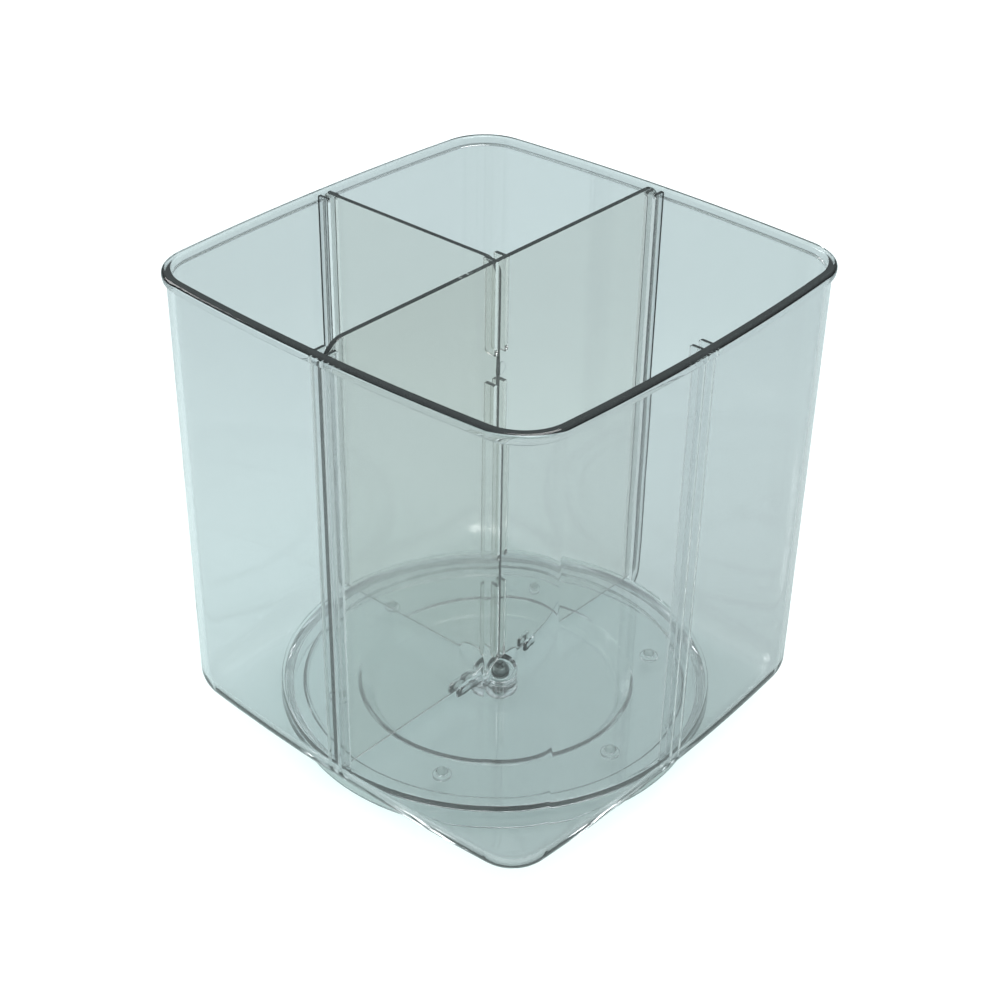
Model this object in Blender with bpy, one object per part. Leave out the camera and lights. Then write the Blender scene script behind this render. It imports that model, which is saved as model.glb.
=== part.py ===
"""Clear rotating desk organizer, standing on a round turntable base.

A square bin with bowed sides turns on a low round base, which sits in a round recess under the
bin's floor. One long divider spans the bin and one short divider joins it from the -X wall, which
leaves the +X guide slot empty. Metres, +Z up; the origin is on the desk, at the turning axis.
Every height is worked out from the base upwards.
"""

import math

import bmesh
import bpy

# Overall sizes
RIM_WIDTH = 0.146
RIM_HEIGHT = 0.150
BASE_HEIGHT = 0.0082

# Plan outline: four long side arcs joined by four corner arcs
SIDE_ARC_RADIUS = 0.700
CORNER_RADIUS = 0.0165
SIDE_STEPS = 4
CORNER_STEPS = 7

# Bin shell
WALL = 0.0018
FLOOR = 0.0022
RIM_OVERHANG = 0.0012
RIM_DEPTH = 0.0032
RIM_ROUND = 0.0008
DRAFT = 0.0010
SKIRT_BOTTOM = 0.0045
BOTTOM_FILLET = 0.0102
FILLET_STEPS = 5

# Round deck in the bin's floor, raised over the recess that the base sits in
BASE_SIDE_CLEARANCE = 0.0006
DECK_WALL = 0.0008
DECK_TAPER = 0.0004
DECK_STEPS = 96

# Guide slots in the walls
RIB_THICKNESS = 0.0014
RIB_REACH = 0.0040
RIB_DROP = 0.0006

# Dividers
DIVIDER = 0.0016
SLIDE_CLEARANCE = 0.0005
END_CLEARANCE = 0.0005
LONG_DIVIDER_PROUD = 0.0015
SHORT_DIVIDER_PROUD = 0.0003
DIVIDER_LIFT = 0.0006
FRONT_CORNER_RADIUS = 0.0075
BACK_CORNER_RADIUS = 0.0045
SHORT_CORNER_RADIUS = 0.0020
JOINT_CORNER_RADIUS = 0.0045
BOTTOM_CORNER_RADIUS = 0.0040
NOTCH_HEIGHT = 0.0032
LONG_NOTCH_HALF = 0.0105
SHORT_NOTCH = (-0.0150, -0.0030)
CHANNEL_RIB = 0.0015
CHANNEL_REACH = 0.0039
CHANNEL_CLEARANCE = 0.0006
CHANNEL_GAP = 0.0095
CHANNEL_UPPER = 0.0300
CHANNEL_LOWER = 0.0310
CHANNEL_TOP_DROP = 0.0003
GATE_MARK_RADIUS = 0.0020
GATE_MARK_DEPTH = 0.0003

# Locating clips on the bin's floor, straddling the long divider
CLIP_WALL = 0.0018
CLIP_CLEARANCE = 0.0004
CLIP_HEIGHT = 0.0030
CLIP_NEAR = 0.0125
FRONT_CLIP_NEAR = 0.0085
CLIP_FAR = 0.0192

# Turntable base
BASE_RADIUS = 0.0644
BASE_WALL = 0.0018
BASE_EDGE = 0.0010
BASE_EDGE_SHARE = 0.3
BAND_STEP = 0.0010
BAND_WIDTH = 0.0067
TRACK_WIDTH = 0.0157
WEB_SLOPE_WIDTH = 0.0042
WEB_LIFT = 0.0008
LATHE_STEPS = 72

# Ball race
BALL_COUNT = 6
BALL_RADIUS = 0.0016
BALL_INSET = 0.0079
BALL_TURN = -6.0
POCKET_CLEARANCE = 0.0003
POCKET_WALL = 0.0010
POCKET_FLOOR = 0.0008
POCKET_STEPS = 20
BALL_SEGMENTS = 16
BALL_RINGS = 10

# Pivot
HUB_RADIUS = 0.0072
HUB_DEPTH = 0.0015
COUNTERBORE_RADIUS = 0.0060
COUNTERBORE_PLATE = 0.0011
SCREW_RADIUS = 0.0015
SCREW_HEAD_RADIUS = 0.0035
SCREW_HEAD = 0.0018
SCREW_LENGTH = 0.0082
RECESS_WIDTH = 0.0009
RECESS_LENGTH = 0.0040
RECESS_DEPTH = 0.0008
WASHER_RADIUS = 0.0040
WASHER_THICKNESS = 0.0006
BORE_CLEARANCE = 0.0004
GAP = 0.0003
ROUND_STEPS = 32
TINY = 1e-4

# Radii that follow from the sizes above
TRACK_OUTER = BASE_RADIUS - BAND_WIDTH
TRACK_INNER = TRACK_OUTER - TRACK_WIDTH
WEB_RADIUS = TRACK_INNER - WEB_SLOPE_WIDTH
BALL_CIRCLE = TRACK_OUTER - BALL_INSET
RECESS_RADIUS = BASE_RADIUS + BASE_SIDE_CLEARANCE
DECK_TOP_RADIUS = RECESS_RADIUS + DECK_WALL
DECK_FOOT_RADIUS = DECK_TOP_RADIUS + DECK_TAPER

# Heights that follow from the sizes above
BAND_TOP = BASE_HEIGHT
TRACK_TOP = BAND_TOP - BAND_STEP
DECK_UNDER = BAND_TOP + 2 * GAP
FLOOR_TOP = DECK_UNDER + FLOOR
CORNER_FLOOR = SKIRT_BOTTOM + FLOOR
WEB_TOP = WEB_LIFT + BASE_WALL
HUB_BOTTOM = DECK_UNDER - HUB_DEPTH
POST_TOP = HUB_BOTTOM - GAP
COUNTERBORE_FLOOR = HUB_BOTTOM + COUNTERBORE_PLATE
WASHER_BOTTOM = COUNTERBORE_FLOOR + GAP
HEAD_BOTTOM = WASHER_BOTTOM + WASHER_THICKNESS + GAP
SHANK_BOTTOM = HEAD_BOTTOM - SCREW_LENGTH
BALL_CENTRE = DECK_UNDER - GAP - BALL_RADIUS
POCKET_BOTTOM = BALL_CENTRE - BALL_RADIUS - GAP
RIB_TOP = RIM_HEIGHT - RIB_DROP
LONG_TOP = RIM_HEIGHT + LONG_DIVIDER_PROUD
SHORT_TOP = RIM_HEIGHT + SHORT_DIVIDER_PROUD
DIVIDER_BOTTOM = FLOOR_TOP + DIVIDER_LIFT
SLOT_HALF = DIVIDER / 2 + SLIDE_CLEARANCE
CHANNEL_HALF = DIVIDER / 2 + CHANNEL_CLEARANCE


def clear_scene():
    for obj in list(bpy.data.objects):
        bpy.data.objects.remove(obj, do_unlink=True)


def linear(value):
    """sRGB channel, 0 to 1, as linear light."""
    return value / 12.92 if value <= 0.04045 else ((value + 0.055) / 1.055) ** 2.4


def make_material(name, rgb, roughness, metallic=0.0, alpha=1.0):
    material = bpy.data.materials.new(name)
    material.use_nodes = True
    shader = material.node_tree.nodes["Principled BSDF"]
    shader.inputs["Base Color"].default_value = (*[linear(v / 255) for v in rgb], 1.0)
    shader.inputs["Roughness"].default_value = roughness
    shader.inputs["Metallic"].default_value = metallic
    shader.inputs["Alpha"].default_value = alpha
    return material


def object_from(name, bm, material=None, parent=None):
    """A new object holding this bmesh, which is freed. Without a material it is a cutter."""
    bmesh.ops.recalc_face_normals(bm, faces=bm.faces)
    mesh = bpy.data.meshes.new(name)
    bm.to_mesh(mesh)
    bm.free()
    obj = bpy.data.objects.new(name, mesh)
    bpy.context.scene.collection.objects.link(obj)
    if material is None:
        obj.hide_render = True
        obj.display_type = "WIRE"
    else:
        mesh.materials.append(material)
        mesh.shade_smooth()
        mesh.set_sharp_from_angle(angle=math.radians(35))
    obj.parent = parent
    return obj


def add_boolean(obj, other, operation):
    modifier = obj.modifiers.new(other.name, "BOOLEAN")
    modifier.operation = operation
    modifier.solver = "EXACT"
    modifier.object = other


def plan_outline(inset):
    """The bin's rounded square, pulled in by this much: side arcs and corner arcs that meet tangent."""
    half = RIM_WIDTH / 2 - inset
    side = SIDE_ARC_RADIUS - inset
    corner = CORNER_RADIUS - inset
    side_centre = half - side
    corner_centre = (side_centre + math.sqrt(2 * (side - corner) ** 2 - side_centre**2)) / 2
    meet = math.atan2(corner_centre, corner_centre - side_centre)
    arcs = []
    for step in range(SIDE_STEPS + 1):
        angle = -meet + 2 * meet * step / SIDE_STEPS
        arcs.append((side_centre + side * math.cos(angle), side * math.sin(angle)))
    for step in range(1, CORNER_STEPS):
        angle = meet + (math.pi / 2 - 2 * meet) * step / CORNER_STEPS
        x = corner_centre + corner * math.cos(angle)
        arcs.append((x, corner_centre + corner * math.sin(angle)))
    points = []
    for turn in range(4):
        cosine, sine = math.cos(turn * math.pi / 2), math.sin(turn * math.pi / 2)
        points += [(x * cosine - y * sine, x * sine + y * cosine) for x, y in arcs]
    return points


def add_loft(bm, sections):
    """Joins closed loops of equal length, each a list of points, and caps the first and the last."""
    rings = [[bm.verts.new(point) for point in section] for section in sections]
    count = len(rings[0])
    for lower, upper in zip(rings, rings[1:]):
        for i in range(count):
            j = (i + 1) % count
            bm.faces.new((lower[i], lower[j], upper[j], upper[i]))
    bm.faces.new(reversed(rings[0]))
    bm.faces.new(rings[-1])


def add_prism(bm, bottom, top):
    """A closed block between two polygons, given as (x, y, z) points in the same order."""
    add_loft(bm, [bottom, top])


def add_cylinder(bm, radius, low, high, centre=(0.0, 0.0), steps=ROUND_STEPS):
    ring = [2 * math.pi * i / steps for i in range(steps)]
    sections = [
        [(centre[0] + radius * math.cos(a), centre[1] + radius * math.sin(a), z) for a in ring]
        for z in (low, high)
    ]
    add_loft(bm, sections)


def cylinder_cutter(name, radius, low, high, steps=ROUND_STEPS):
    bm = bmesh.new()
    add_cylinder(bm, radius, low, high, steps=steps)
    return object_from(name, bm)


def add_lathe(bm, profile, steps):
    """Turns a closed (r, z) profile about Z. Points on the axis close the shape."""
    rings = []
    for radius, z in profile:
        if radius < TINY:
            rings.append([bm.verts.new((0.0, 0.0, z))])
            continue
        angles = [2 * math.pi * i / steps for i in range(steps)]
        rings.append([bm.verts.new((radius * math.cos(a), radius * math.sin(a), z)) for a in angles])
    for first, second in zip(rings, rings[1:]):
        for i in range(steps):
            j = (i + 1) % steps
            corners = [first[i % len(first)], first[j % len(first)]]
            corners += [second[j % len(second)], second[i % len(second)]]
            face = list(dict.fromkeys(corners))
            if len(face) > 2:
                bm.faces.new(face)


def outer_inset(z):
    """How far the bin's outer wall lies inside the rim's outer edge at this height."""
    share = (RIM_HEIGHT - z) / (RIM_HEIGHT - SKIRT_BOTTOM)
    return RIM_OVERHANG + DRAFT * share


def inner_half(z):
    """Half the distance between two opposite inner walls, at their middles."""
    return RIM_WIDTH / 2 - outer_inset(z) - WALL


def fillet(radius, low, extra):
    """(z, inset) pairs round a bottom edge, from its flat face up to its wall."""
    pairs = []
    for step in range(FILLET_STEPS + 1):
        angle = math.pi / 2 * (1 - step / FILLET_STEPS)
        z = low + radius * (1 - math.sin(angle))
        pairs.append((z, outer_inset(z) + extra + radius * (1 - math.cos(angle))))
    return pairs


def build_bin(material, parent):
    under_rim = RIM_HEIGHT - RIM_DEPTH
    steps = fillet(BOTTOM_FILLET, SKIRT_BOTTOM, 0.0)
    steps.append((under_rim - RIM_ROUND, outer_inset(under_rim)))
    steps.append((under_rim, outer_inset(under_rim) - RIM_ROUND / 2))
    steps.append((under_rim, RIM_ROUND))
    steps.append((under_rim + RIM_ROUND, 0.0))
    steps.append((RIM_HEIGHT - RIM_ROUND, 0.0))
    steps.append((RIM_HEIGHT, RIM_ROUND))
    rim_inside = RIM_OVERHANG + WALL
    steps.append((RIM_HEIGHT, rim_inside - RIM_ROUND / 2))
    steps.append((RIM_HEIGHT - RIM_ROUND / 2, rim_inside))
    steps += reversed(fillet(BOTTOM_FILLET - WALL, CORNER_FLOOR, WALL))
    bm = bmesh.new()
    add_loft(bm, [[(x, y, z) for x, y in plan_outline(inset)] for z, inset in steps])
    bin_body = object_from("bin", bm, material, parent)
    add_boolean(bin_body, guide_ribs(), "UNION")
    add_boolean(bin_body, raised_deck(), "UNION")
    hollow = cylinder_cutter("bin_recess", RECESS_RADIUS, -GAP, DECK_UNDER, DECK_STEPS)
    hollow.rotation_euler.z = math.pi / DECK_STEPS
    add_boolean(bin_body, hollow, "DIFFERENCE")
    add_boolean(bin_body, floor_fittings(), "UNION")
    add_boolean(bin_body, screw_seat(), "DIFFERENCE")
    return bin_body


def raised_deck():
    """The round, slightly tapered part of the floor, standing on the low floor of the corners."""
    bm = bmesh.new()
    low = CORNER_FLOOR - GAP
    profile = [(0.0, FLOOR_TOP), (DECK_TOP_RADIUS, FLOOR_TOP), (DECK_FOOT_RADIUS, low), (0.0, low)]
    add_lathe(bm, profile, DECK_STEPS)
    deck = object_from("raised_deck", bm)
    deck.rotation_euler.z = math.pi / DECK_STEPS
    return deck


def screw_seat():
    """The cutter for the screw's hole and the well that its head and washer sit in."""
    bore = SCREW_RADIUS + BORE_CLEARANCE
    profile = [(0.0, 0.0), (bore, 0.0), (bore, COUNTERBORE_FLOOR)]
    profile += [(COUNTERBORE_RADIUS, COUNTERBORE_FLOOR), (COUNTERBORE_RADIUS, RIM_HEIGHT)]
    profile.append((0.0, RIM_HEIGHT))
    bm = bmesh.new()
    add_lathe(bm, profile, ROUND_STEPS)
    return object_from("bin_screw_seat", bm)


def guide_ribs():
    """Two ribs in the middle of each wall, which leave a slot for a divider's edge."""
    radius = BOTTOM_FILLET - WALL / 2
    centre = SKIRT_BOTTOM + BOTTOM_FILLET
    foot = inner_half(centre) + WALL - BOTTOM_FILLET
    lean = math.degrees(math.acos((inner_half(centre) - RIB_REACH - foot) / radius))
    profile = arc((foot, centre), radius, -lean, 0)
    profile.append((inner_half(RIB_TOP) + WALL / 2, RIB_TOP))
    profile.append((inner_half(RIB_TOP) - RIB_REACH, RIB_TOP))
    bm = bmesh.new()
    for turn in range(4):
        cosine, sine = round(math.cos(turn * math.pi / 2)), round(math.sin(turn * math.pi / 2))
        for side in (-1, 1):
            faces = []
            for y in (side * SLOT_HALF, side * (SLOT_HALF + RIB_THICKNESS)):
                faces.append([(x * cosine - y * sine, x * sine + y * cosine, z) for x, z in profile])
            add_prism(bm, *faces)
    return object_from("guide_ribs", bm)


def floor_fittings():
    """Four clip walls on the floor beside the long divider, and the hub under it."""
    low = FLOOR_TOP - FLOOR / 2
    inside = DIVIDER / 2 + CLIP_CLEARANCE
    nose = CLIP_WALL / 2
    bm = bmesh.new()
    for end, near in ((-1, FRONT_CLIP_NEAR), (1, CLIP_NEAR)):
        for side in (-1, 1):
            middle = side * (inside + nose)
            outline = []
            for centre, start in ((near + nose, math.pi), (CLIP_FAR - nose, 0.0)):
                for step in range(5):
                    angle = start + math.pi * step / 4
                    outline.append((middle + nose * math.cos(angle), end * (centre + nose * math.sin(angle))))
            levels = [[(x, y, z) for x, y in outline] for z in (low, FLOOR_TOP + CLIP_HEIGHT)]
            add_prism(bm, *levels)
    add_cylinder(bm, HUB_RADIUS, HUB_BOTTOM, DECK_UNDER + FLOOR / 2)
    return object_from("floor_fittings", bm)


def arc(centre, radius, start, end, steps=6):
    """Points round a quarter or other arc, in degrees."""
    points = []
    for step in range(steps + 1):
        angle = math.radians(start + (end - start) * step / steps)
        points.append((centre[0] + radius * math.cos(angle), centre[1] + radius * math.sin(angle)))
    return points


def arch(left, right, low, height):
    """A low round-topped notch in a bottom edge, from left to right."""
    points = []
    for step in range(9):
        angle = math.pi * (1 - step / 8)
        across = (left + right) / 2 + (right - left) / 2 * math.cos(angle)
        points.append((across, low + height * math.sin(angle)))
    return points


def panel(name, outline, place, material, parent):
    """A flat panel one divider thick. place turns (across, up, through) into (x, y, z)."""
    bm = bmesh.new()
    faces = [[place(u, v, w) for u, v in outline] for w in (-DIVIDER / 2, DIVIDER / 2)]
    add_prism(bm, *faces)
    return object_from(name, bm, material, parent)


def wall_end(side, top, top_radius):
    """One end of a divider that slides in a wall's slot: bottom corner, drafted edge, top corner."""
    low = inner_half(DIVIDER_BOTTOM + BOTTOM_CORNER_RADIUS) - END_CLEARANCE
    high = inner_half(top - top_radius) - END_CLEARANCE
    bottom = (low - BOTTOM_CORNER_RADIUS, DIVIDER_BOTTOM + BOTTOM_CORNER_RADIUS)
    points = arc(bottom, BOTTOM_CORNER_RADIUS, 270, 360)
    points += arc((high - top_radius, top - top_radius), top_radius, 0, 90)
    return [(side * u, v) for u, v in points]


def build_long_divider(material, parent):
    right = wall_end(1, LONG_TOP, BACK_CORNER_RADIUS)
    left = wall_end(-1, LONG_TOP, FRONT_CORNER_RADIUS)
    notch = arch(-LONG_NOTCH_HALF, LONG_NOTCH_HALF, DIVIDER_BOTTOM, NOTCH_HEIGHT)
    outline = notch + right + list(reversed(left))
    divider = panel("long_divider", outline, lambda u, v, w: (w, u, v), material, parent)
    add_boolean(divider, channel_ribs(), "UNION")
    bm = bmesh.new()
    mark = arc((0.0, LONG_TOP - CHANNEL_UPPER - CHANNEL_GAP / 2), GATE_MARK_RADIUS, 0, 345, 23)
    face = -DIVIDER / 2
    add_prism(bm, [(face - GATE_MARK_DEPTH, y, z) for y, z in mark], [(0.0, y, z) for y, z in mark])
    add_boolean(divider, object_from("gate_mark", bm), "UNION")
    return divider


def channel_ribs():
    """Two ribs on the long divider, in three stretches, which hold the short divider's edge."""
    middle = DIVIDER_BOTTOM + CHANNEL_LOWER
    upper = LONG_TOP - CHANNEL_UPPER
    stretches = [
        (DIVIDER_BOTTOM + NOTCH_HEIGHT + TINY, middle),
        (middle + CHANNEL_GAP, upper - CHANNEL_GAP),
        (upper, LONG_TOP - CHANNEL_TOP_DROP),
    ]
    bm = bmesh.new()
    for low, high in stretches:
        for side in (-1, 1):
            near, far = side * CHANNEL_HALF, side * (CHANNEL_HALF + CHANNEL_RIB)
            corners = [(0.0, near), (-DIVIDER / 2 - CHANNEL_REACH, near)]
            corners += [(-DIVIDER / 2 - CHANNEL_REACH, far), (0.0, far)]
            add_prism(bm, [(x, y, low) for x, y in corners], [(x, y, high) for x, y in corners])
    return object_from("channel_ribs", bm)


def build_short_divider(material, parent):
    joint = -DIVIDER / 2 - GAP - GATE_MARK_DEPTH - GAP
    corner = (joint - JOINT_CORNER_RADIUS, SHORT_TOP - JOINT_CORNER_RADIUS)
    end = arc(corner, JOINT_CORNER_RADIUS, 90, 0) + [(joint, DIVIDER_BOTTOM)]
    notch = arch(SHORT_NOTCH[0], SHORT_NOTCH[1], DIVIDER_BOTTOM, NOTCH_HEIGHT)
    outline = wall_end(-1, SHORT_TOP, SHORT_CORNER_RADIUS) + end + list(reversed(notch))
    return panel("short_divider", outline, lambda u, v, w: (u, w, v), material, parent)


def build_base(material, parent):
    """A turned ring-shaped channel, open below, round a low web with a post in its middle."""
    slope = (TRACK_INNER - WEB_RADIUS) / (TRACK_TOP - WEB_TOP)
    lean = BASE_WALL * (math.hypot(slope, 1.0) - slope)
    step = BAND_STEP / 2
    edge = BASE_EDGE * BASE_EDGE_SHARE
    profile = [
        (0.0, POST_TOP),
        (HUB_RADIUS, POST_TOP),
        (HUB_RADIUS, WEB_TOP),
        (WEB_RADIUS, WEB_TOP),
        (TRACK_INNER, TRACK_TOP),
        (TRACK_OUTER, TRACK_TOP),
        (TRACK_OUTER + step, BAND_TOP),
        (BASE_RADIUS - BASE_EDGE, BAND_TOP),
        (BASE_RADIUS - edge, BAND_TOP - edge),
        (BASE_RADIUS, BAND_TOP - BASE_EDGE),
        (BASE_RADIUS, 0.0),
        (BASE_RADIUS - BASE_WALL, 0.0),
        (BASE_RADIUS - BASE_WALL, BAND_TOP - BASE_WALL),
        (TRACK_OUTER + step + BASE_WALL / 2, BAND_TOP - BASE_WALL),
        (TRACK_OUTER + BASE_WALL / 2, TRACK_TOP - BASE_WALL),
        (TRACK_INNER + lean, TRACK_TOP - BASE_WALL),
        (WEB_RADIUS + lean, WEB_LIFT),
        (0.0, WEB_LIFT),
    ]
    bm = bmesh.new()
    add_lathe(bm, profile, LATHE_STEPS)
    base = object_from("turntable_base", bm, material, parent)
    cups = bmesh.new()
    pockets = bmesh.new()
    pocket = BALL_RADIUS + POCKET_CLEARANCE
    cup_low, cup_high = POCKET_BOTTOM - POCKET_FLOOR, TRACK_TOP - BASE_WALL / 2
    for centre in ball_centres():
        add_cylinder(cups, pocket + POCKET_WALL, cup_low, cup_high, centre, POCKET_STEPS)
        add_cylinder(pockets, pocket, POCKET_BOTTOM, BAND_TOP, centre, POCKET_STEPS)
    add_boolean(base, object_from("ball_cups", cups), "UNION")
    add_boolean(base, object_from("ball_pockets", pockets), "DIFFERENCE")
    bore = SCREW_RADIUS + GAP
    add_boolean(base, cylinder_cutter("post_bore", bore, SHANK_BOTTOM - GAP, BAND_TOP), "DIFFERENCE")
    return base


def ball_centres():
    angles = [math.radians(BALL_TURN + 360 * i / BALL_COUNT) for i in range(BALL_COUNT)]
    return [(BALL_CIRCLE * math.cos(a), BALL_CIRCLE * math.sin(a)) for a in angles]


def build_balls(material, parent):
    for number, (x, y) in enumerate(ball_centres(), 1):
        bm = bmesh.new()
        bmesh.ops.create_uvsphere(
            bm, u_segments=BALL_SEGMENTS, v_segments=BALL_RINGS, radius=BALL_RADIUS
        )
        ball = object_from(f"bearing_ball_{number}", bm, material, parent)
        ball.location = (x, y, BALL_CENTRE)


def build_screw(material, parent):
    """A pan-head screw with a plain shank and a cross recess."""
    top = HEAD_BOTTOM + SCREW_HEAD
    crown = SCREW_HEAD / 3
    profile = [
        (0.0, top),
        (SCREW_HEAD_RADIUS * 0.6, top - crown * 0.2),
        (SCREW_HEAD_RADIUS * 0.9, top - crown),
        (SCREW_HEAD_RADIUS, top - 2 * crown),
        (SCREW_HEAD_RADIUS, HEAD_BOTTOM),
        (SCREW_RADIUS, HEAD_BOTTOM),
        (SCREW_RADIUS, SHANK_BOTTOM + SCREW_RADIUS / 2),
        (SCREW_RADIUS / 2, SHANK_BOTTOM),
        (0.0, SHANK_BOTTOM),
    ]
    bm = bmesh.new()
    add_lathe(bm, profile, ROUND_STEPS)
    screw = object_from("pivot_screw", bm, material, parent)
    half_width, half_length = RECESS_WIDTH / 2, RECESS_LENGTH / 2
    cross = [
        (half_width, half_width), (half_width, half_length), (-half_width, half_length),
        (-half_width, half_width), (-half_length, half_width), (-half_length, -half_width),
        (-half_width, -half_width), (-half_width, -half_length), (half_width, -half_length),
        (half_width, -half_width), (half_length, -half_width), (half_length, half_width),
    ]
    bm = bmesh.new()
    add_prism(bm, *[[(x, y, z) for x, y in cross] for z in (top - RECESS_DEPTH, top + RECESS_DEPTH)])
    add_boolean(screw, object_from("cross_recess", bm), "DIFFERENCE")


def build_washer(material, parent):
    inner = SCREW_RADIUS + GAP
    high = WASHER_BOTTOM + WASHER_THICKNESS
    profile = [(inner, WASHER_BOTTOM), (WASHER_RADIUS, WASHER_BOTTOM), (WASHER_RADIUS, high), (inner, high)]
    profile.append(profile[0])
    bm = bmesh.new()
    add_lathe(bm, profile, ROUND_STEPS)
    bmesh.ops.remove_doubles(bm, verts=bm.verts, dist=TINY / 100)
    object_from("pivot_washer", bm, material, parent)


def make_pivot(name, parent=None):
    pivot = bpy.data.objects.new(name, None)
    pivot.empty_display_size = RIM_WIDTH / 10
    bpy.context.scene.collection.objects.link(pivot)
    pivot.parent = parent
    return pivot


def main():
    clear_scene()
    clear_plastic = make_material("clear_grey_green_polystyrene", (190, 205, 203), 0.04, alpha=0.35)
    divider_plastic = make_material("clear_divider_polystyrene", (186, 200, 196), 0.04, alpha=0.35)
    base_plastic = make_material("clear_base_polystyrene", (176, 190, 190), 0.06, alpha=0.45)
    ball_plastic = make_material("bearing_ball_acetal", (150, 158, 156), 0.3)
    steel = make_material("zinc_plated_steel", (120, 124, 122), 0.3, metallic=1.0)
    turntable = make_pivot("base_frame")
    spin = make_pivot("bin_spin", turntable)
    build_base(base_plastic, turntable)
    build_balls(ball_plastic, turntable)
    build_screw(steel, turntable)
    build_washer(steel, turntable)
    build_bin(clear_plastic, spin)
    build_long_divider(divider_plastic, spin)
    build_short_divider(divider_plastic, spin)


main()
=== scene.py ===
# Clear turning desk organizer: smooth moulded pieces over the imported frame.
# Lengths are in millimetres until a mesh is made, and z is measured up from the desk.
import math

import bmesh
import bpy
import numpy as np
from mathutils import Matrix, Vector


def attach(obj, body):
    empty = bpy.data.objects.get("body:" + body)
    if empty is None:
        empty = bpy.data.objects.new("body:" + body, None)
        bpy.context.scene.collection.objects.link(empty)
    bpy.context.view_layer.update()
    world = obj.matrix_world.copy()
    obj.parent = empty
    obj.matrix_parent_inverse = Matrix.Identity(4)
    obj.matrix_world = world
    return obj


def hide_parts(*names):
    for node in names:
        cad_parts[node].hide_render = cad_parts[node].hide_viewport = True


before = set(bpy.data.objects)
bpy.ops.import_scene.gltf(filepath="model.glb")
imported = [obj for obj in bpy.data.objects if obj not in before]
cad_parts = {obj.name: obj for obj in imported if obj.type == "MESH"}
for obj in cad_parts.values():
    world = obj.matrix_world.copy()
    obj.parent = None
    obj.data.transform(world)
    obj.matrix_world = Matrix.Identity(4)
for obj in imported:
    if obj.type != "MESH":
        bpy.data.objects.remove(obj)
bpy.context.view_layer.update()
mm = 0.001
print("frame loaded", len(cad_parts), "nodes")


# sRGB hex to linear: v/12.92 up to 0.04045, else ((v + 0.055)/1.055) to the power 2.4.
def hexLinear(code):
    v = np.array([int(code[i:i + 2], 16) for i in (1, 3, 5)]) / 255
    return tuple(np.where(v <= 0.04045, v / 12.92, ((v + 0.055) / 1.055) ** 2.4))


# A closed path with each corner swapped for an arc: the arc's centre lies on the corner's
# bisector, radius / sin(half angle) away, and it meets each side radius / tan(half angle)
# back. A corner with no radius, or on a straight line, stays a point.
def roundCorners(points, radii, steps):
    noRadius, straight = 1e-6, math.pi / 2 - 1e-3
    points = np.array(points, float)
    out = []
    for i, radius in enumerate(radii):
        here = points[i]
        back, ahead = points[i - 1] - here, points[(i + 1) % len(points)] - here
        back, ahead = back / np.linalg.norm(back), ahead / np.linalg.norm(ahead)
        half = math.acos(np.clip(back @ ahead, -1, 1)) / 2
        if radius < noRadius or half > straight:
            out.append(here[None])
            continue
        bisector = (back + ahead) / np.linalg.norm(back + ahead)
        centre = here + bisector * radius / math.sin(half)
        start = here + back * radius / math.tan(half) - centre
        end = here + ahead * radius / math.tan(half) - centre
        turn = math.atan2(start[0] * end[1] - start[1] * end[0], start @ end)
        a = np.linspace(0, turn, steps + 1)
        c, s = np.cos(a), np.sin(a)
        arc = np.stack([start[0] * c - start[1] * s, start[0] * s + start[1] * c], 1)
        out.append(centre + arc)
    return np.concatenate(out)


# A closed anticlockwise path moved inwards by amount: each point goes along the mean of its
# two side normals, and further at a corner, so that the sides move by amount too.
def pushIn(path, amount):
    shortest, sharpest = 1e-9, 0.5
    side = np.roll(path, -1, 0) - path
    side = side / np.maximum(np.linalg.norm(side, axis=1, keepdims=True), shortest)
    inward = np.stack([-side[:, 1], side[:, 0]], 1)
    mean = inward + np.roll(inward, 1, 0)
    mean /= np.maximum(np.linalg.norm(mean, axis=1, keepdims=True) ** 2 / 2, sharpest)
    return path + mean * amount


# rings is (levels, around, 3) in mm. Neighbouring points on neighbouring levels make a quad.
# The first and last levels are capped, unless the levels close up by themselves, and a level
# of one repeated point becomes a pole.
def gridMesh(name, rings, capped=True):
    mergeAt, collapseAt = 1e-7, 1e-8
    levels, around = rings.shape[:2]
    i, j = np.meshgrid(np.arange(levels - 1), np.arange(around), indexing="ij")
    k = (j + 1) % around
    quads = [i * around + j, i * around + k, (i + 1) * around + k, (i + 1) * around + j]
    faces = np.stack(quads, -1).reshape(-1, 4).tolist()
    if capped:
        faces.append(list(range(around))[::-1])
        faces.append([(levels - 1) * around + n for n in range(around)])
    mesh = bpy.data.meshes.new(name)
    mesh.from_pydata((rings.reshape(-1, 3) * mm).tolist(), [], faces)
    bm = bmesh.new()
    bm.from_mesh(mesh)
    bmesh.ops.remove_doubles(bm, verts=bm.verts, dist=mergeAt)
    bmesh.ops.dissolve_degenerate(bm, edges=bm.edges, dist=collapseAt)
    bmesh.ops.recalc_face_normals(bm, faces=bm.faces)
    bm.to_mesh(mesh)
    bm.free()
    obj = bpy.data.objects.new(name, mesh)
    bpy.context.scene.collection.objects.link(obj)
    return obj


# Carries an (r, z) profile round Z: x = r cos a, y = r sin a.
def turned(name, profile, around, capped=True):
    a = np.linspace(0, 2 * math.pi, around, endpoint=False)
    r, z = profile[:, :1], profile[:, 1:]
    up = np.broadcast_to(z, (len(profile), around))
    return gridMesh(name, np.stack([r * np.cos(a), r * np.sin(a), up], -1), capped)


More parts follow.
